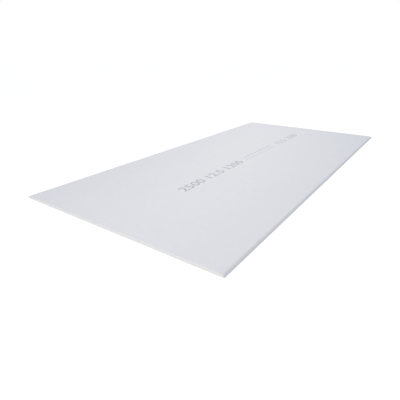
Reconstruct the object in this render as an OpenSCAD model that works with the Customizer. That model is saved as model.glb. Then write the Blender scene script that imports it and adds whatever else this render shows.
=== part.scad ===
// Drywall sheet: one paper-faced gypsum board with half-round tapered long edges and square-cut ends.
// It lies flat with its face up. X runs along the length, Y across the width and Z up from the back.
// The origin is the middle of the back, and all sizes are in millimetres.

/* [Sheet] */
// Length between the two cut ends
sheet_length = 2500; // [1200:10:3600]
// Width across the two long edges
sheet_width = 1200; // [400:10:1300]
// Thickness of the flat middle of the sheet
sheet_thickness = 12.5; // [9.5:0.5:18]

/* [Long edges] */
// Width of the strip along each long edge where the face slopes down
taper_width = 50; // [40:1:80]
// Drop of the sloping face at the long edge, which leaves room for joint tape and filler
taper_depth = 1.2; // [0.6:0.1:2.5]
// How far in from the long edge the face is creased, where the rounding of the edge starts
round_width = 10.5; // [8:0.5:14]
// Height of the upright strip between the rounding and the back
upright = 2; // [0.5:0.25:3]
// Radius of the long edge on its back side
back_radius = 2; // [1:0.5:3]

/* [Hidden] */
$fn = 96;
paper_colour = "#dfe1e7";

half_width = sheet_width / 2;

// The long edge is half-round: a shallow arc falls from the crease in the sloping face to the upright strip.
// Both ends are given as [in from the long edge, up from the back].
crease = [-round_width, sheet_thickness - taper_depth * (1 - round_width / taper_width)];
foot = [0, back_radius + upright];
chord = foot - crease;
// Radius of the arc as a share of its chord. A larger share gives a flatter rounding and a sharper crease.
roundness = 1.75;
round_radius = roundness * norm(chord);
round_centre = (crease + foot) / 2 + [chord[1], -chord[0]] * sqrt(pow(roundness, 2) - 0.25);

// Quarter of a disc that fills the corner between +X and +Y
module quarter_disc(radius) {
    intersection() {
        circle(r = radius);
        square(radius);
    }
}

// Corner of the square edge that lies outside the rounding, with 1 mm to spare beyond the edge and the face
module corner_waste() {
    difference() {
        translate([round_centre[0], back_radius])
            square([1 - round_centre[0], sheet_thickness + 1 - back_radius]);
        translate(round_centre) circle(r = round_radius);
    }
}

// Half of the cross-section, from the long edge at x = 0 inwards to the sheet's middle line
module half_section() {
    difference() {
        polygon([
            [-half_width, 0],
            [-back_radius, 0],
            [-back_radius, back_radius],
            [0, back_radius],
            [0, sheet_thickness - taper_depth],
            [-taper_width, sheet_thickness],
            [-half_width, sheet_thickness]
        ]);
        corner_waste();
    }
    translate([-back_radius, back_radius]) mirror([0, 1]) quarter_disc(back_radius);
}

// Both halves of the cross-section, meeting on the middle line
module cross_section() {
    for (side = [0, 1])
        mirror([side, 0]) translate([half_width, 0]) half_section();
}

// The whole sheet, its cross-section drawn out along X from one cut end to the other
module drywall_sheet() {
    color(paper_colour)
        rotate([90, 0, 90])
            linear_extrude(height = sheet_length, center = true)
                cross_section();
}

drywall_sheet();
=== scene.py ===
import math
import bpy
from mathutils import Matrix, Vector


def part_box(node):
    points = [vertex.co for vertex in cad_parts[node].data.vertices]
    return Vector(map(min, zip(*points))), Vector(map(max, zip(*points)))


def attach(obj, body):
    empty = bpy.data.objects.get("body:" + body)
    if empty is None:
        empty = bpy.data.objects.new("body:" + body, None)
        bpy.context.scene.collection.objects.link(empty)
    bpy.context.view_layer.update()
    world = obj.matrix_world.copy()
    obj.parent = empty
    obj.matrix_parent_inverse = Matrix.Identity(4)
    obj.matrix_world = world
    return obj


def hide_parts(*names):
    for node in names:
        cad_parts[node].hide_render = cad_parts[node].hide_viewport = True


bl_info = {
    "name": "Drywall Sheet",
    "version": (1, 0, 0),
    "blender": (4, 5, 0),
    "location": "View3D > Sidebar > Drywall",
    "description": "Dresses a drywall sheet with its face paper, gypsum core, back liner and printed numbers",
    "category": "Object",
}

from collections import namedtuple

import bmesh
import bpy
from bpy.props import FloatProperty, FloatVectorProperty, IntProperty, PointerProperty, StringProperty
from mathutils import Euler, Matrix, Vector

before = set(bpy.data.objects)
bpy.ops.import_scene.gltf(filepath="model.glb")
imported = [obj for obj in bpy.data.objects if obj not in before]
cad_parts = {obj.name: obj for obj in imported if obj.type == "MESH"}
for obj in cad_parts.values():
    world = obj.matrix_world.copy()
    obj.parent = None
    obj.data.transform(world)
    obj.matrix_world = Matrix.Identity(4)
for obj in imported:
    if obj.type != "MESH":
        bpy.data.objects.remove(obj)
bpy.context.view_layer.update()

NODE = "drywall_sheet"
BODY = "root"
# A piece is baked through a UV map of this name, where it has one.
BAKE_MAP = "OFBake"
MM = 0.001
# Two heights or widths this near each other count as one, in metres.
TOUCH = 1e-6
QUARTER_TURN = math.pi / 2
X_AXIS = (1, 0, 0)
WHITE = (1, 1, 1, 1)
BLACK = (0, 0, 0, 1)
# How far the blocks that trim the core stand out beyond it on each side.
SPARE = 2 * MM
# Faces along each bend of the paper, from the crease down to the back.
ROUND_STEPS = 12
NOSE_STEPS = 6
FOLD_STEPS = 8
# Straight pieces along each curve of a printed digit.
DIGIT_STEPS = 4
# Bends up to these angles are shaded smoothly.
PAPER_BEND = math.radians(35)
GYPSUM_BEND = math.radians(50)
# A Mix node's sockets for colours, which have the same names as its sockets for numbers.
COLOUR_A = 6
COLOUR_B = 7
COLOUR_OUT = 2

# The solid's cross-section on the side of +Y, in metres. The crease and the centre are points with no X.
Profile = namedtuple(
    "Profile",
    "half_length half_width top flat_face crease round_centre round_radius edge_height back_radius",
)


def circle_centre(a, b, c):
    """Centre of the circle through three points of the cross-section."""
    weights = [p.y**2 + p.z**2 for p in (a, b, c)]
    heights = (b.z - c.z, c.z - a.z, a.z - b.z)
    widths = (c.y - b.y, a.y - c.y, b.y - a.y)
    twice_area = 2 * (a.y * heights[0] + b.y * heights[1] + c.y * heights[2])
    y = sum(w * h for w, h in zip(weights, heights)) / twice_area
    z = sum(w * d for w, d in zip(weights, widths)) / twice_area
    return Vector((0, y, z))


def read_profile():
    """Measures the solid's cross-section on the side of +Y, so that every piece follows it."""
    low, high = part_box(NODE)
    points = [Vector((0, *vertex.co.yz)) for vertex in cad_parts[NODE].data.vertices]
    flat_face = max(p.y for p in points if p.z > high.z - TOUCH)
    # The taper ends at a crease. An arc falls from there to the upright strip.
    # The foot of that strip meets the arc that leads to the back.
    crease = min((p for p in points if p.y > flat_face + TOUCH), key=lambda p: p.y)
    strip = sorted((p for p in points if p.y > high.y - TOUCH), key=lambda p: p.z)
    arc = [p for p in points if p.y > crease.y + TOUCH and p.z > strip[-1].z + TOUCH]
    middle = min(arc, key=lambda p: abs((p - crease).length - (p - strip[-1]).length))
    round_centre = circle_centre(crease, middle, strip[-1])
    return Profile(
        half_length=high.x,
        half_width=high.y,
        top=high.z,
        flat_face=flat_face,
        crease=crease,
        round_centre=round_centre,
        round_radius=(crease - round_centre).length,
        edge_height=strip[0].z,
        back_radius=high.y - max(p.y for p in points if p.z < low.z + TOUCH),
    )


profile = read_profile()


def linear(hex_colour):
    """Linear RGB of a colour written as sRGB hex."""
    channels = [int(hex_colour[i : i + 2], 16) / 255 for i in (1, 3, 5)]
    return [c / 12.92 if c <= 0.04045 else ((c + 0.055) / 1.055) ** 2.4 for c in channels]


def length_property(name, description, millimetres):
    """A length that the panel shows in the scene's unit."""
    return FloatProperty(
        name=name,
        description=description,
        default=millimetres * MM,
        unit="LENGTH",
        precision=5,
    )


def angle_property(name, description, degrees):
    """An angle that the panel shows in degrees."""
    return FloatProperty(
        name=name,
        description=description,
        default=math.radians(degrees),
        subtype="ANGLE",
    )


def place_property(name, description, metres):
    """A point that the panel shows in the scene's unit."""
    return FloatVectorProperty(
        name=name,
        description=description,
        default=metres,
        subtype="XYZ",
        unit="LENGTH",
    )


def colour_property(name, description, hex_colour):
    """A colour that the panel shows as a swatch."""
    return FloatVectorProperty(
        name=name,
        description=description,
        default=linear(hex_colour),
        subtype="COLOR",
        min=0,
        max=1,
    )


class SheetSizes(bpy.types.PropertyGroup):
    """Sizes of the paper and of the cut ends, beside those that the solid gives"""

    paper: length_property("Paper", "Thickness of the face paper and of the back liner", 0.4)
    lap: length_property("Lap", "How far the face paper is folded in under the back, from the long edge", 26)
    liner_inset: length_property("Liner inset", "Strip of the lap that the back liner leaves bare", 13)
    lap_ridge: length_property("Lap ridge", "How far the back liner stands out where it covers a lap", 0.1)
    ridge_slope: length_property("Ridge slope", "Width over which the back liner climbs on to a lap", 3)
    nose_radius: length_property("Nose radius", "Bend of the paper at the foot of the edge's rounding", 2)
    end_recess: length_property("End recess", "How far the core's cut ends lie behind the paper", 0.3)
    saw_roughness: length_property("Saw roughness", "Height of the chalky unevenness of the cut ends", 0.4)
    pore_depth: length_property("Pore depth", "Depth of the larger air pores on the cut ends", 0.9)
    grit: length_property("Grit", "Mesh width on the cut ends, which carries their pores and crumbs", 0.62)
    dust_width: length_property("Dust width", "Width of the strip beside a cut end where saw dust lies", 7)


class PatternSizes(bpy.types.PropertyGroup):
    """Sizes of the patterns in the paper, the gypsum and the ink"""

    face_cloud: length_property("Face cloud", "Width of a thinner place in the face paper", 30)
    face_grain: length_property("Face grain", "Width of the grain of the face paper", 1.6)
    face_fibre: length_property("Face fibre", "Width of a fibre in the face paper", 0.6)
    fibre_cell: length_property("Fibre cell", "Width of a cell in which the fibres lie one way", 5)
    dust_patch: length_property("Dust patch", "Width of a patch of saw dust", 5)
    bubble: length_property("Bubble", "Distance between the fine bubbles in the gypsum", 1.1)
    chalk_patch: length_property("Chalk patch", "Width of a paler or greyer place in the gypsum", 5)
    saw_mark: length_property("Saw mark", "Width of the marks that the saw leaves on the cut ends", 5)
    pore_spacing: length_property("Pore spacing", "Distance between the larger air pores", 5)
    fine_pore_spacing: length_property("Fine pore spacing", "Distance between the smaller air pores", 2.4)
    liner_fibre: length_property("Liner fibre", "Width of a fibre in the back liner", 1.8)
    liner_cloud: length_property("Liner cloud", "Width of a thinner place in the back liner", 60)
    ink_grain: length_property("Ink grain", "Width of a place where the ink took more or less", 2)


class SheetColours(bpy.types.PropertyGroup):
    """Colours of the paper, the core and the ink"""

    face_paper: colour_property("Face paper", "Pale top ply of the face paper", "#E2E2E6")
    face_cloud: colour_property("Face cloud", "Thinner places in the top ply", "#DBDCE1")
    face_fibre: colour_property("Face fibre", "Single fibres that show in the top ply", "#C6C7CD")
    gypsum: colour_property("Gypsum", "Freshly cut gypsum", "#F6F6F6")
    # Painted shade in the bottoms of the pores, and also the grey of the greyer chalk patches.
    gypsum_hollow: colour_property("Gypsum hollow", "Bottoms of the pores", "#C8C7C4")
    back_liner: colour_property("Back liner", "Recycled paper of the back", "#CBC5BA")
    liner_fleck: colour_property("Liner fleck", "Darker fibres in the back liner", "#9A9489")
    ink: colour_property("Ink", "Printed numbers", "#AEB0B7")


class PrintSettings(bpy.types.PropertyGroup):
    """What is printed along the middle of the face, and where"""

    heavy_numbers: StringProperty(
        name="Heavy numbers",
        description="The sheet's length, thickness and width",
        default="2500 12.5 1200",
    )
    heavy_weight: FloatProperty(
        name="Heavy weight",
        description="How much the heavy numbers are thickened, as a share of the font's size",
        default=0.006,
        precision=4,
    )
    heavy_start: length_property("Heavy start", "Where the heavy numbers begin", -737)
    heavy_end: length_property("Heavy end", "Where the heavy numbers end", -75)
    light_numbers: StringProperty(
        name="Light numbers",
        description="Thickness and length again",
        default="12.5  2500",
    )
    light_weight: FloatProperty(
        name="Light weight",
        description="How much the light numbers are thickened, as a share of the font's size",
        default=0,
        precision=4,
    )
    light_start: length_property("Light start", "Where the light numbers begin", 537)
    light_end: length_property("Light end", "Where the light numbers end", 937)
    base_line: length_property("Base line", "Where the large numbers stand, across the sheet", -41)
    number_height: length_property("Number height", "Height of the large numbers", 58)
    scale_start: length_property("Scale start", "Where the printed scale begins", -20)
    scale_step: length_property("Scale step", "Distance from one tick of the scale to the next", 10)
    scale_steps: IntProperty(
        name="Scale steps",
        description="Number of steps on the scale",
        default=45,
    )
    ticks_to_number: IntProperty(
        name="Ticks to a number",
        description="Ticks from one number to the next",
        default=5,
    )
    tick_width: length_property("Tick width", "Width of a tick", 2.6)
    scale_height: length_property("Scale height", "Height of the scale's numbers and longest ticks", 16)
    scale_weight: FloatProperty(
        name="Scale weight",
        description="How much the scale's numbers are thickened, as a share of the font's size",
        default=0.01,
        precision=4,
    )
    digit_width: length_property("Digit width", "Room for each digit of the scale's numbers", 9.6)
    film: length_property("Ink film", "How far the ink stands off the paper", 0.12)


class StageSettings(bpy.types.PropertyGroup):
    """Camera, lamps and floor"""

    eye: place_property("Eye", "Where the camera stands", (-2.0632, -1.0741, 0.6951))
    heading: angle_property("Heading", "Direction of the view, from the sheet's length", 35.242)
    tilt: angle_property("Tilt", "How far the camera looks down", 23.51)
    roll: angle_property("Roll", "Turn about the line of sight", -0.032)
    focal_pixels: FloatProperty(
        name="Focal length",
        description="Focal length in pixels of the picture",
        default=338.41,
    )
    picture_pixels: FloatProperty(
        name="Picture",
        description="Width of the picture in pixels",
        default=400,
    )
    sky: colour_property("Sky", "Cool, even light from all round", "#EDF8FF")
    sky_strength: FloatProperty(
        name="Sky strength",
        description="Level of the even light",
        default=0.595,
    )
    sun_direction: FloatVectorProperty(
        name="Sun direction",
        description="Way to the soft sun",
        default=(-0.68, 0.38, 0.62),
        subtype="DIRECTION",
    )
    sun_strength: FloatProperty(
        name="Sun strength",
        description="Level of the soft sun",
        default=1.17,
    )
    sun_angle: angle_property("Sun angle", "Softness of the sun", 40)
    strip_place: place_property("Strip place", "Middle of the strip lamp", (0.05, 0.15, 1.25))
    strip_turn: angle_property("Strip turn", "Turn of the strip lamp from the sheet's length", 15)
    strip_size: FloatVectorProperty(
        name="Strip size",
        description="Length and width of the strip lamp",
        default=(4.8, 0.2),
        size=2,
        unit="LENGTH",
    )
    strip_colour: colour_property("Strip colour", "Warm light of the strip lamp", "#FFE7DA")
    strip_power: FloatProperty(
        name="Strip power",
        description="Power of the strip lamp",
        default=10.8,
        subtype="POWER",
    )
    floor_size: length_property("Floor size", "Width of the square floor", 60000)
    floor_drop: length_property("Floor drop", "How far the floor lies clear below the sheet", 0.2)
    floor_paper: colour_property("Floor paper", "Paper of the floor, as it throws light back", "#F9F3F0")
    floor_shade: colour_property("Floor shade", "Light that the floor shows beside its glow", "#A0A0A0")
    floor_glow: FloatProperty(
        name="Floor glow",
        description="Level at which the floor shows where no light falls on it",
        default=0.74,
    )


def add_node(tree, kind, inputs=(), **settings):
    """Adds a node with its settings.

    An input is linked if it is given a socket, and set if it is given a value.
    """
    node = tree.nodes.new("ShaderNode" + kind)
    for name, value in settings.items():
        setattr(node, name, value)
    for name, value in dict(inputs).items():
        if isinstance(value, bpy.types.NodeSocket):
            tree.links.new(value, node.inputs[name])
        else:
            node.inputs[name].default_value = value
    return node


def new_tree(owner):
    """An owner's node tree, emptied."""
    owner.use_nodes = True
    owner.node_tree.nodes.clear()
    return owner.node_tree


def rgba(colour):
    """A colour with full opacity, as a node's socket takes it."""
    return (*colour, 1)


def reach_along_length(tree, place):
    """How far a point lies from the middle of the sheet, towards either cut end."""
    axes = add_node(tree, "SeparateXYZ", {"Vector": place})
    reach = add_node(tree, "Math", {0: axes.outputs["X"]}, operation="ABSOLUTE")
    return reach.outputs["Value"]


def matt_surface(tree, colour, rough, height, bump):
    """Ends a material in a matt shader, with its bump in metres.

    Porous stock mirrors less than a smooth film, so the specular level is half the usual one.
    """
    normal = add_node(tree, "Bump", {"Height": height, "Distance": bump})
    surface = add_node(
        tree,
        "BsdfPrincipled",
        {
            "Base Color": colour,
            "Roughness": rough,
            "Normal": normal.outputs["Normal"],
            "IOR": 1.45,
            "Specular IOR Level": 0.25,
        },
    )
    add_node(tree, "OutputMaterial", {"Surface": surface.outputs["BSDF"]})


def face_paper_material(colours, sizes, patterns):
    """Multi-ply paper with a pale, calendered top ply: matt and even, with a fine grain and single fibres.

    The grain runs along the sheet. The fibres lie every way, drawn wider than life so that they show.
    Gypsum dust from the saw lies in patches beside the cut ends.
    """
    material = bpy.data.materials.new("calendered_face_paper")
    tree = new_tree(material)
    place = add_node(tree, "TexCoord").outputs["Object"]
    cloud = add_node(tree, "TexNoise", {"Vector": place, "Scale": 1 / patterns.face_cloud, "Detail": 2})
    # The grain is about three times as long as it is wide.
    along = add_node(tree, "Mapping", {"Vector": place, "Scale": (0.3, 1, 1)})
    grain = add_node(
        tree,
        "TexNoise",
        {"Vector": along.outputs["Vector"], "Scale": 1 / patterns.face_grain, "Detail": 3},
    )
    mottle = add_node(tree, "Mix", {"Factor": 0.75, "A": cloud.outputs["Fac"], "B": grain.outputs["Fac"]})
    thin = add_node(tree, "MapRange", {"Value": mottle.outputs["Result"], "From Min": 0.3, "From Max": 0.7})
    ply = add_node(
        tree,
        "Mix",
        {
            "Factor": thin.outputs["Result"],
            COLOUR_A: rgba(colours.face_paper),
            COLOUR_B: rgba(colours.face_cloud),
        },
        data_type="RGBA",
    )
    # Every small cell has a random colour, which turns the fibres in it their own way.
    cell = add_node(tree, "TexVoronoi", {"Vector": place, "Scale": 1 / patterns.fibre_cell})
    way = add_node(tree, "Math", {0: cell.outputs["Color"], 1: math.tau}, operation="MULTIPLY")
    turned = add_node(
        tree,
        "VectorRotate",
        {"Vector": place, "Angle": way.outputs["Value"]},
        rotation_type="Z_AXIS",
    )
    # A fibre is about eight times as long as it is wide.
    drawn_out = add_node(tree, "Mapping", {"Vector": turned.outputs["Vector"], "Scale": (0.12, 1, 1)})
    strand = add_node(
        tree,
        "TexNoise",
        {"Vector": drawn_out.outputs["Vector"], "Scale": 1 / patterns.face_fibre, "Detail": 1},
    )
    fibre = add_node(
        tree,
        "MapRange",
        {"Value": strand.outputs["Fac"], "From Min": 0.68, "From Max": 0.8, "To Max": 0.4},
    )
    paper = add_node(
        tree,
        "Mix",
        {
            "Factor": fibre.outputs["Result"],
            COLOUR_A: ply.outputs[COLOUR_OUT],
            COLOUR_B: rgba(colours.face_fibre),
        },
        data_type="RGBA",
    )
    near_cut = add_node(
        tree,
        "MapRange",
        {
            "Value": reach_along_length(tree, place),
            "From Min": profile.half_length - sizes.dust_width,
            "From Max": profile.half_length,
        },
    )
    patch = add_node(tree, "TexNoise", {"Vector": place, "Scale": 1 / patterns.dust_patch, "Detail": 5})
    thick = add_node(
        tree,
        "MapRange",
        {"Value": patch.outputs["Fac"], "From Min": 0.45, "From Max": 0.75, "To Max": 0.5},
    )
    dust = add_node(
        tree,
        "Math",
        {0: near_cut.outputs["Result"], 1: thick.outputs["Result"]},
        operation="MULTIPLY",
    )
    colour = add_node(
        tree,
        "Mix",
        {
            "Factor": dust.outputs["Value"],
            COLOUR_A: paper.outputs[COLOUR_OUT],
            COLOUR_B: rgba(colours.gypsum),
        },
        data_type="RGBA",
    )
    rough = add_node(tree, "MapRange", {"Value": thin.outputs["Result"], "To Min": 0.62, "To Max": 0.78})
    matt_surface(
        tree,
        colour=colour.outputs[COLOUR_OUT],
        rough=rough.outputs["Result"],
        height=grain.outputs["Fac"],
        bump=0.03 * MM,
    )
    return material


def gypsum_material(colours, sizes, patterns):
    """Foamed gypsum, sawn: chalk white and dead matt, greyer down in its pores as painted shade, with fine
    bubbles.
    """
    material = bpy.data.materials.new("sawn_foamed_gypsum")
    tree = new_tree(material)
    place = add_node(tree, "TexCoord").outputs["Object"]
    # The saw's own marks keep the colour of the cut, and only what lies deeper counts as a pore. A pore is
    # painted greyer the deeper it goes, which is painted shade, and the greyer chalk patches add some real
    # tone of their own.
    cut = profile.half_length - sizes.end_recess - sizes.saw_roughness
    depth = add_node(
        tree,
        "MapRange",
        {
            "Value": reach_along_length(tree, place),
            "From Min": cut - sizes.pore_depth,
            "From Max": cut,
        },
    )
    bubble = add_node(tree, "TexVoronoi", {"Vector": place, "Scale": 1 / patterns.bubble})
    chalk = add_node(tree, "TexNoise", {"Vector": place, "Scale": 1 / patterns.chalk_patch, "Detail": 4})
    tint = add_node(tree, "Mix", {"Factor": 0.2, "A": depth.outputs["Result"], "B": chalk.outputs["Fac"]})
    colour = add_node(
        tree,
        "Mix",
        {
            "Factor": tint.outputs["Result"],
            COLOUR_A: rgba(colours.gypsum_hollow),
            COLOUR_B: rgba(colours.gypsum),
        },
        data_type="RGBA",
    )
    rough = add_node(tree, "MapRange", {"Value": chalk.outputs["Fac"], "To Min": 0.85, "To Max": 0.98})
    matt_surface(
        tree,
        colour=colour.outputs[COLOUR_OUT],
        rough=rough.outputs["Result"],
        height=bubble.outputs["Distance"],
        bump=0.15 * MM,
    )
    return material


def back_liner_material(colours, patterns):
    """Recycled grey-buff paper: matt and flecked with darker fibres, each a few millimetres long."""
    material = bpy.data.materials.new("recycled_back_liner")
    tree = new_tree(material)
    place = add_node(tree, "TexCoord").outputs["Object"]
    # A fibre is two and a half times as long as it is wide, and lies along the sheet.
    along = add_node(tree, "Mapping", {"Vector": place, "Scale": (0.4, 1, 1)})
    fibre = add_node(
        tree,
        "TexNoise",
        {"Vector": along.outputs["Vector"], "Scale": 1 / patterns.liner_fibre, "Detail": 3},
    )
    fleck = add_node(tree, "MapRange", {"Value": fibre.outputs["Fac"], "From Min": 0.54, "From Max": 0.78})
    cloud = add_node(tree, "TexNoise", {"Vector": place, "Scale": 1 / patterns.liner_cloud, "Detail": 4})
    thin = add_node(
        tree,
        "MapRange",
        {"Value": cloud.outputs["Fac"], "From Min": 0.3, "From Max": 0.7, "To Max": 0.35},
    )
    tint = add_node(
        tree,
        "Math",
        {0: fleck.outputs["Result"], 1: thin.outputs["Result"]},
        operation="ADD",
        use_clamp=True,
    )
    colour = add_node(
        tree,
        "Mix",
        {
            "Factor": tint.outputs["Value"],
            COLOUR_A: rgba(colours.back_liner),
            COLOUR_B: rgba(colours.liner_fleck),
        },
        data_type="RGBA",
    )
    rough = add_node(tree, "MapRange", {"Value": cloud.outputs["Fac"], "To Min": 0.78, "To Max": 0.92})
    matt_surface(
        tree,
        colour=colour.outputs[COLOUR_OUT],
        rough=rough.outputs["Result"],
        height=fibre.outputs["Fac"],
        bump=0.04 * MM,
    )
    return material


def ink_material(colours, patterns):
    """Thin water-based ink, pressed on: grey and matt, with the paper showing through where it took less."""
    material = bpy.data.materials.new("pressed_print_ink")
    tree = new_tree(material)
    place = add_node(tree, "TexCoord").outputs["Object"]
    grain = add_node(tree, "TexNoise", {"Vector": place, "Scale": 1 / patterns.ink_grain, "Detail": 3})
    bare = add_node(
        tree,
        "MapRange",
        {"Value": grain.outputs["Fac"], "From Min": 0.5, "From Max": 0.7, "To Max": 0.6},
    )
    colour = add_node(
        tree,
        "Mix",
        {
            "Factor": bare.outputs["Result"],
            COLOUR_A: rgba(colours.ink),
            COLOUR_B: rgba(colours.face_paper),
        },
        data_type="RGBA",
    )
    rough = add_node(tree, "MapRange", {"Value": grain.outputs["Fac"], "To Min": 0.6, "To Max": 0.75})
    matt_surface(
        tree,
        colour=colour.outputs[COLOUR_OUT],
        rough=rough.outputs["Result"],
        height=grain.outputs["Fac"],
        bump=0.01 * MM,
    )
    return material


def select_edges(piece, test):
    """Selects only the edges whose two ends both pass the test. The piece is in edit mode."""
    bpy.ops.mesh.select_mode(type="EDGE")
    bpy.ops.mesh.select_all(action="DESELECT")
    mesh = bmesh.from_edit_mesh(piece.data)
    for edge in mesh.edges:
        edge.select_set(all(test(vertex.co) for vertex in edge.verts))
    bmesh.update_edit_mesh(piece.data)


def extrude(*step):
    """Extrudes what is selected by one step."""
    bpy.ops.mesh.extrude_region_move(TRANSFORM_OT_translate={"value": step})


def start_plane(name, length, width, height):
    """Adds a flat rectangle at a height and leaves it in edit mode, with its object at the origin."""
    bpy.ops.object.select_all(action="DESELECT")
    bpy.ops.mesh.primitive_plane_add(size=1)
    piece = bpy.context.object
    piece.name = piece.data.name = name
    bpy.ops.object.mode_set(mode="EDIT")
    bpy.ops.transform.resize(value=(length, width, 1))
    bpy.ops.transform.translate(value=(0, 0, height))
    return piece


def apply_modifier(piece, kind, **settings):
    """Adds a modifier with its settings to the active piece and applies it."""
    bpy.ops.object.modifier_add(type=kind)
    modifier = piece.modifiers[-1]
    for name, value in settings.items():
        setattr(modifier, name, value)
    bpy.ops.object.modifier_apply(modifier=modifier.name)


def face_outwards():
    """Turns every face of the piece in edit mode outwards."""
    bpy.ops.mesh.select_all(action="SELECT")
    bpy.ops.mesh.normals_make_consistent(inside=False)


def thicken(piece, thickness):
    """Leaves edit mode and gives a single sheet of faces its thickness, inwards from its outer side."""
    bpy.ops.object.mode_set(mode="OBJECT")
    apply_modifier(piece, "SOLIDIFY", thickness=thickness, offset=-1, use_even_offset=True)


def smooth_paper(piece):
    """Shades the bends of a paper smoothly and keeps its flats flat."""
    bpy.ops.object.shade_smooth_by_angle(angle=PAPER_BEND)
    apply_modifier(piece, "WEIGHTED_NORMAL", keep_sharp=True)


def turn_about(side, centre, angle, steps):
    """Carries the selected edge round a line along X, outwards and down."""
    middle = (0, side * centre.y, centre.z)
    bpy.ops.mesh.spin(steps=steps, angle=side * angle, center=middle, axis=X_AXIS)


def wrap_long_edge(side, sizes):
    """Carries the selected edge down the taper, round the long edge and in under the back."""
    extrude(0, side * (profile.crease.y - profile.flat_face), profile.crease.z - profile.top)
    # The nose is a tighter arc that ends upright and runs on from the rounding without a corner.
    gap = profile.round_radius - sizes.nose_radius
    nose_y = profile.half_width - sizes.nose_radius
    nose_z = profile.round_centre.z + math.sqrt(gap**2 - (nose_y - profile.round_centre.y) ** 2)
    nose = Vector((0, nose_y, nose_z))
    upwards = Vector((0, 0, 1))
    start = upwards.angle(profile.crease - profile.round_centre)
    meet = upwards.angle(nose - profile.round_centre)
    turn_about(side, profile.round_centre, meet - start, ROUND_STEPS)
    turn_about(side, nose, QUARTER_TURN - meet, NOSE_STEPS)
    extrude(0, 0, profile.edge_height - nose_z)
    fold_radius = profile.back_radius - sizes.paper
    fold = Vector((0, profile.half_width - fold_radius, profile.edge_height))
    turn_about(side, fold, QUARTER_TURN, FOLD_STEPS)
    extrude(0, -side * (sizes.lap - fold_radius), 0)


def finish_piece(piece, material):
    """Gives a piece its material and sets it on the part's body in place of the plain solid."""
    piece.data.materials.append(material)
    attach(piece, BODY)
    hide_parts(NODE)


class DRYWALL_OT_face_paper(bpy.types.Operator):
    """Wraps the face paper over the face, round both long edges and in under the back"""

    bl_idname = "drywall.face_paper"
    bl_label = "Face Paper"

    def execute(self, context):
        scene = context.scene
        sizes = scene.sheet_sizes
        paper = start_plane("face_paper", 2 * profile.half_length, 2 * profile.flat_face, profile.top)
        for side in (1, -1):
            select_edges(paper, lambda p: side * p.y > profile.flat_face - TOUCH)
            wrap_long_edge(side, sizes)
        face_outwards()
        thicken(paper, sizes.paper)
        smooth_paper(paper)
        material = face_paper_material(scene.sheet_colours, sizes, scene.sheet_patterns)
        finish_piece(paper, material)
        return {"FINISHED"}


def pit_texture(name, spacing, share):
    """A texture of pits, the given spacing apart: white at their middles and black beyond a share of it."""
    texture = bpy.data.textures.new(name, "VORONOI")
    texture.noise_scale = spacing
    texture.use_color_ramp = True
    centre, rim = texture.color_ramp.elements
    centre.color = WHITE
    rim.color = BLACK
    rim.position = share
    return texture


def cut_relief(sizes, patterns):
    """The textures that sawing foamed gypsum leaves, each with its depth."""
    chatter = bpy.data.textures.new("saw_chatter", "CLOUDS")
    chatter.noise_scale = patterns.saw_mark
    chatter.noise_depth = 3
    return (
        (chatter, sizes.saw_roughness),
        (pit_texture("air_pores", patterns.pore_spacing, share=0.22), sizes.pore_depth),
        (pit_texture("fine_air_pores", patterns.fine_pore_spacing, share=0.35), sizes.pore_depth / 2),
    )


def sawn_block(end, sizes, relief):
    """A block beyond one end of the core, whose inner side is as uneven as a saw leaves foamed gypsum."""
    height = profile.top + 2 * SPARE
    width = 2 * (profile.half_width + SPARE)
    bpy.ops.object.select_all(action="DESELECT")
    bpy.ops.mesh.primitive_grid_add(
        x_subdivisions=round(height / sizes.grit),
        y_subdivisions=round(width / sizes.grit),
        size=1,
    )
    block = bpy.context.object
    bpy.ops.object.mode_set(mode="EDIT")
    bpy.ops.transform.resize(value=(height, width, 1))
    bpy.ops.transform.rotate(value=QUARTER_TURN, orient_axis="Y", center_override=(0, 0, 0))
    bpy.ops.transform.translate(value=(end * (profile.half_length - sizes.end_recess), 0, profile.top / 2))
    bpy.ops.object.mode_set(mode="OBJECT")
    # A block that reaches further into the core leaves a deeper pore there.
    for texture, depth in relief:
        apply_modifier(
            block,
            "DISPLACE",
            texture=texture,
            texture_coords="LOCAL",
            direction="X",
            strength=-end * depth,
            mid_level=0,
        )
    bpy.ops.object.mode_set(mode="EDIT")
    bpy.ops.mesh.select_all(action="SELECT")
    bpy.ops.mesh.region_to_loop()
    extrude(end * 2 * SPARE, 0, 0)
    # The rim is pressed flat outside the core and closed with one face.
    outside = (end * (profile.half_length + SPARE), 0, 0)
    bpy.ops.transform.resize(value=(0, 1, 1), center_override=outside)
    bpy.ops.mesh.edge_face_add()
    face_outwards()
    bpy.ops.object.mode_set(mode="OBJECT")
    return block


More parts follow.
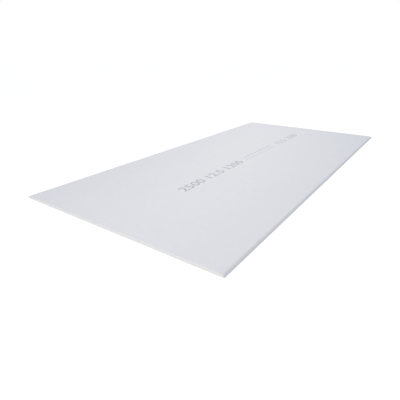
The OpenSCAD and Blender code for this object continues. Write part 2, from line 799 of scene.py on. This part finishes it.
def map_cut_ends(core):
    """Lays the two cut ends out in rows, so that a baked picture of the core spends its room where it shows.

    The rows lie one above the other, and the hidden face and back share two bands above them.
    """
    rows = 6
    row_gap = 1 * MM
    side_margin = 0.02
    foot_margin = 0.005
    band_margin = 0.05
    row_length = 2 * profile.half_width / rows
    scale = (1 - 2 * side_margin) / row_length
    pitch = (profile.top + row_gap) * scale
    hidden = 2 * rows * pitch + 2 * foot_margin
    hidden_band = (1 - 2 * foot_margin - hidden) / 2
    girth = 2 * (profile.half_width + profile.top)
    layer = core.data.uv_layers.new(name=BAKE_MAP)
    for face in core.data.polygons:
        cut = abs(face.center.x) > profile.half_length - 2 * SPARE
        row = min(rows - 1, max(0, int((face.center.y + profile.half_width) / row_length)))
        band = row + rows * (face.center.x > 0)
        below = face.normal.z < 0
        for loop in face.loop_indices:
            place = core.data.vertices[core.data.loops[loop].vertex_index].co
            if cut:
                u = side_margin + (place.y + profile.half_width - row * row_length) * scale
                v = foot_margin + band * pitch + place.z * scale
            else:
                fall = place.z if below else profile.top - place.z
                out = place.y + math.copysign(fall, place.y)
                u = side_margin + (1 - 2 * side_margin) * (place.x / profile.half_length + 1) / 2
                across = band_margin + (1 - 2 * band_margin) * (out / girth + 0.5)
                v = hidden + (below + across) * hidden_band
            layer.data[loop].uv = (u, v)


class DRYWALL_OT_gypsum_core(bpy.types.Operator):
    """Fills the folded paper with the gypsum core and saws its two ends"""

    bl_idname = "drywall.gypsum_core"
    bl_label = "Gypsum Core"

    def execute(self, context):
        scene = context.scene
        sizes = scene.sheet_sizes
        length = 2 * (profile.half_length + SPARE)
        core = start_plane("gypsum_core", length, 2 * profile.flat_face, profile.top - sizes.paper)
        # Between the laps, which lie two papers up from the back, the core comes down to the back liner.
        bottom = sizes.lap_ridge + sizes.paper
        for side in (1, -1):
            select_edges(core, lambda p: side * p.y > profile.flat_face - TOUCH)
            wrap_long_edge(side, sizes)
            extrude(0, 0, bottom - 2 * sizes.paper)
        select_edges(core, lambda p: p.z < bottom + TOUCH)
        bpy.ops.mesh.bridge_edge_loops()
        bpy.ops.mesh.select_all(action="SELECT")
        bpy.ops.mesh.fill_holes(sides=0)
        face_outwards()
        bpy.ops.object.mode_set(mode="OBJECT")
        relief = cut_relief(sizes, scene.sheet_patterns)
        for end in (1, -1):
            block = sawn_block(end, sizes, relief)
            context.view_layer.objects.active = core
            apply_modifier(core, "BOOLEAN", operation="DIFFERENCE", solver="MANIFOLD", object=block)
            bpy.data.objects.remove(block)
        core.select_set(True)
        bpy.ops.object.shade_smooth_by_angle(angle=GYPSUM_BEND)
        map_cut_ends(core)
        material = gypsum_material(scene.sheet_colours, sizes, scene.sheet_patterns)
        finish_piece(core, material)
        return {"FINISHED"}


class DRYWALL_OT_back_liner(bpy.types.Operator):
    """Lays the back liner over the core and the ends of the two laps"""

    bl_idname = "drywall.back_liner"
    bl_label = "Back Liner"

    def execute(self, context):
        scene = context.scene
        sizes = scene.sheet_sizes
        lap_end = profile.half_width - sizes.lap
        level_half = lap_end - sizes.ridge_slope
        liner = start_plane("back_liner", 2 * profile.half_length, 2 * level_half, sizes.lap_ridge)
        for side in (1, -1):
            select_edges(liner, lambda p: side * p.y > level_half - TOUCH)
            extrude(0, side * sizes.ridge_slope, -sizes.lap_ridge)
            extrude(0, side * (sizes.lap - sizes.liner_inset), 0)
        bpy.ops.mesh.select_all(action="SELECT")
        bpy.ops.mesh.flip_normals()
        thicken(liner, sizes.paper)
        smooth_paper(liner)
        material = back_liner_material(scene.sheet_colours, scene.sheet_patterns)
        finish_piece(liner, material)
        return {"FINISHED"}


def fit_to_box(piece, low, high):
    """Stretches and moves the active piece's mesh so that it fills the box between two corners."""
    points = [vertex.co for vertex in piece.data.vertices]
    lowest = [min(p[axis] for p in points) for axis in range(3)]
    highest = [max(p[axis] for p in points) for axis in range(3)]
    stretch = [(high[axis] - low[axis]) / (highest[axis] - lowest[axis]) for axis in range(3)]
    bpy.ops.object.mode_set(mode="EDIT")
    bpy.ops.mesh.select_all(action="SELECT")
    bpy.ops.mesh.remove_doubles()
    bpy.ops.transform.resize(value=stretch, center_override=lowest)
    bpy.ops.transform.translate(value=[low[axis] - lowest[axis] for axis in range(3)])
    bpy.ops.object.mode_set(mode="OBJECT")


def print_numbers(settings, body, weight, start, end, base, height):
    """Prints one line of numbers, stretched to its place and sunk into the paper by its film's thickness."""
    bpy.ops.object.select_all(action="DESELECT")
    bpy.ops.object.text_add()
    text = bpy.context.object
    text.data.body = body
    text.data.offset = weight
    text.data.resolution_u = DIGIT_STEPS
    # Any depth will do here, because the fit below brings it to the film's.
    text.data.extrude = 0.02
    bpy.ops.object.convert(target="MESH")
    printed = bpy.context.object
    low = (start, base, profile.top - settings.film)
    high = (end, base + height, profile.top + settings.film)
    fit_to_box(printed, low, high)
    return printed


def print_ticks(settings, first_step, height, repeats):
    """Prints ticks that hang from the scale's line, copied by each pair of a count and a number of steps."""
    line = settings.base_line + settings.scale_height
    ticks = start_plane("ticks", settings.tick_width, height, profile.top + settings.film)
    place = settings.scale_start + first_step * settings.scale_step
    bpy.ops.transform.translate(value=(place, line - height / 2, 0))
    thicken(ticks, 2 * settings.film)
    for count, steps in repeats:
        apply_modifier(
            ticks,
            "ARRAY",
            count=count,
            use_relative_offset=False,
            use_constant_offset=True,
            constant_offset_displace=(steps * settings.scale_step, 0, 0),
        )
    return ticks


class DRYWALL_OT_printed_numbers(bpy.types.Operator):
    """Prints the sheet's sizes and a short scale along the middle of the face"""

    bl_idname = "drywall.printed_numbers"
    bl_label = "Printed Numbers"

    def execute(self, context):
        scene = context.scene
        settings = scene.sheet_print
        spacing = settings.ticks_to_number
        groups = settings.scale_steps // spacing
        pieces = [
            print_numbers(
                settings,
                body=settings.heavy_numbers,
                weight=settings.heavy_weight,
                start=settings.heavy_start,
                end=settings.heavy_end,
                base=settings.base_line,
                height=settings.number_height,
            ),
            print_numbers(
                settings,
                body=settings.light_numbers,
                weight=settings.light_weight,
                start=settings.light_start,
                end=settings.light_end,
                base=settings.base_line,
                height=settings.number_height,
            ),
            # Long ticks stand at the numbers, and short ones half as high between them.
            print_ticks(
                settings,
                first_step=0,
                height=settings.scale_height,
                repeats=[(groups + 1, spacing)],
            ),
            print_ticks(
                settings,
                first_step=1,
                height=settings.scale_height / 2,
                repeats=[(spacing - 1, 1), (groups, spacing)],
            ),
        ]
        # The scale's numbers end level with the tops of the large ones.
        number_base = settings.base_line + settings.number_height - settings.scale_height
        for step in range(0, settings.scale_steps + 1, spacing):
            number = str(round(step * settings.scale_step / MM))
            middle = settings.scale_start + step * settings.scale_step
            reach = settings.digit_width * len(number) / 2
            pieces.append(
                print_numbers(
                    settings,
                    body=number,
                    weight=settings.scale_weight,
                    start=middle - reach,
                    end=middle + reach,
                    base=number_base,
                    height=settings.scale_height,
                )
            )
        bpy.ops.object.select_all(action="DESELECT")
        for piece in pieces:
            piece.select_set(True)
        numbers = pieces[0]
        context.view_layer.objects.active = numbers
        bpy.ops.object.join()
        numbers.name = numbers.data.name = "printed_numbers"
        finish_piece(numbers, ink_material(scene.sheet_colours, scene.sheet_patterns))
        return {"FINISHED"}


def seen_directly(tree):
    """1 for a ray from the camera, straight or by way of a mirror or glass, and 0 for other rays."""
    path = add_node(tree, "LightPath")
    mirrored = add_node(
        tree,
        "Math",
        {0: path.outputs["Is Camera Ray"], 1: path.outputs["Is Glossy Ray"]},
        operation="MAXIMUM",
    )
    either = add_node(
        tree,
        "Math",
        {0: mirrored.outputs["Value"], 1: path.outputs["Is Transmission Ray"]},
        operation="MAXIMUM",
    )
    return either.outputs["Value"]


def add_camera(scene, stage):
    """Sets the camera where the photograph was taken from."""
    data = bpy.data.cameras.new("camera")
    camera = bpy.data.objects.new("camera", data)
    scene.collection.objects.link(camera)
    data.lens = data.sensor_width * stage.focal_pixels / stage.picture_pixels
    turn = Euler((QUARTER_TURN - stage.tilt, 0, stage.heading - QUARTER_TURN)).to_matrix()
    camera.matrix_world = Matrix.LocRotScale(stage.eye, turn @ Matrix.Rotation(stage.roll, 3, "Z"), None)
    scene.camera = camera


def add_sky(scene, stage):
    """Even pale light from all round, on a background that shows white."""
    scene.world = bpy.data.worlds.new("studio")
    tree = new_tree(scene.world)
    light = add_node(tree, "Background", {"Color": rgba(stage.sky), "Strength": stage.sky_strength})
    white = add_node(tree, "Background", {"Color": WHITE, "Strength": 1})
    mix = add_node(
        tree,
        "MixShader",
        {0: seen_directly(tree), 1: light.outputs["Background"], 2: white.outputs["Background"]},
    )
    add_node(tree, "OutputWorld", {"Surface": mix.outputs["Shader"]})


def add_lamps(stage):
    """A soft sun from over the far left, and a strip lamp that hangs over the sheet from corner to corner."""
    facing = Vector(stage.sun_direction).to_track_quat("Z", "Y").to_euler()
    bpy.ops.object.light_add(type="SUN", rotation=facing)
    sun = bpy.context.object
    sun.name = "soft_sun"
    sun.data.energy = stage.sun_strength
    sun.data.angle = stage.sun_angle
    bpy.ops.object.light_add(type="AREA", location=stage.strip_place, rotation=(0, 0, stage.strip_turn))
    strip = bpy.context.object
    strip.name = "strip_lamp"
    strip.data.shape = "RECTANGLE"
    strip.data.size, strip.data.size_y = stage.strip_size
    strip.data.color = stage.strip_colour
    strip.data.energy = stage.strip_power
    strip.visible_camera = False


def floor_material(stage):
    """Seamless white paper. It shows white in the open and keeps a soft shadow beside the sheet."""
    material = bpy.data.materials.new("seamless_paper_floor")
    tree = new_tree(material)
    paper = add_node(tree, "BsdfDiffuse", {"Color": rgba(stage.floor_paper)})
    shade = add_node(tree, "BsdfDiffuse", {"Color": rgba(stage.floor_shade)})
    glow = add_node(tree, "Emission", {"Color": WHITE, "Strength": stage.floor_glow})
    shown = add_node(tree, "AddShader", {0: shade.outputs["BSDF"], 1: glow.outputs["Emission"]})
    mix = add_node(
        tree,
        "MixShader",
        {0: seen_directly(tree), 1: paper.outputs["BSDF"], 2: shown.outputs["Shader"]},
    )
    add_node(tree, "OutputMaterial", {"Surface": mix.outputs["Shader"]})
    return material


class DRYWALL_OT_stage(bpy.types.Operator):
    """Sets the camera, the lamps and a white floor"""

    bl_idname = "drywall.stage"
    bl_label = "Stage"

    def execute(self, context):
        stage = context.scene.sheet_stage
        context.scene.view_settings.view_transform = "Standard"
        add_camera(context.scene, stage)
        add_sky(context.scene, stage)
        add_lamps(stage)
        bpy.ops.mesh.primitive_plane_add(size=stage.floor_size, location=(0, 0, -stage.floor_drop))
        floor = context.object
        floor.name = "floor"
        floor.data.materials.append(floor_material(stage))
        return {"FINISHED"}


OPERATORS = (
    DRYWALL_OT_face_paper,
    DRYWALL_OT_gypsum_core,
    DRYWALL_OT_back_liner,
    DRYWALL_OT_printed_numbers,
    DRYWALL_OT_stage,
)
SETTINGS = {
    "sheet_sizes": SheetSizes,
    "sheet_patterns": PatternSizes,
    "sheet_colours": SheetColours,
    "sheet_print": PrintSettings,
    "sheet_stage": StageSettings,
}


class DRYWALL_PT_sheet(bpy.types.Panel):
    """Lists the settings and the operators of the drywall sheet"""

    bl_label = "Drywall Sheet"
    bl_space_type = "VIEW_3D"
    bl_region_type = "UI"
    bl_category = "Drywall"

    def draw(self, context):
        for name, group in SETTINGS.items():
            box = self.layout.box()
            for field in group.__annotations__:
                box.prop(getattr(context.scene, name), field)
        for operator in OPERATORS:
            self.layout.operator(operator.bl_idname)


CLASSES = (*SETTINGS.values(), *OPERATORS, DRYWALL_PT_sheet)


def register():
    for cls in CLASSES:
        bpy.utils.register_class(cls)
    for name, group in SETTINGS.items():
        setattr(bpy.types.Scene, name, PointerProperty(type=group))


def unregister():
    for name in SETTINGS:
        delattr(bpy.types.Scene, name)
    for cls in reversed(CLASSES):
        bpy.utils.unregister_class(cls)


def main():
    """Makes the pieces and the stage in order."""
    register()
    bpy.ops.drywall.face_paper()
    bpy.ops.drywall.gypsum_core()
    bpy.ops.drywall.back_liner()
    bpy.ops.drywall.printed_numbers()
    bpy.ops.drywall.stage()


if __name__ == "__main__":
    main()
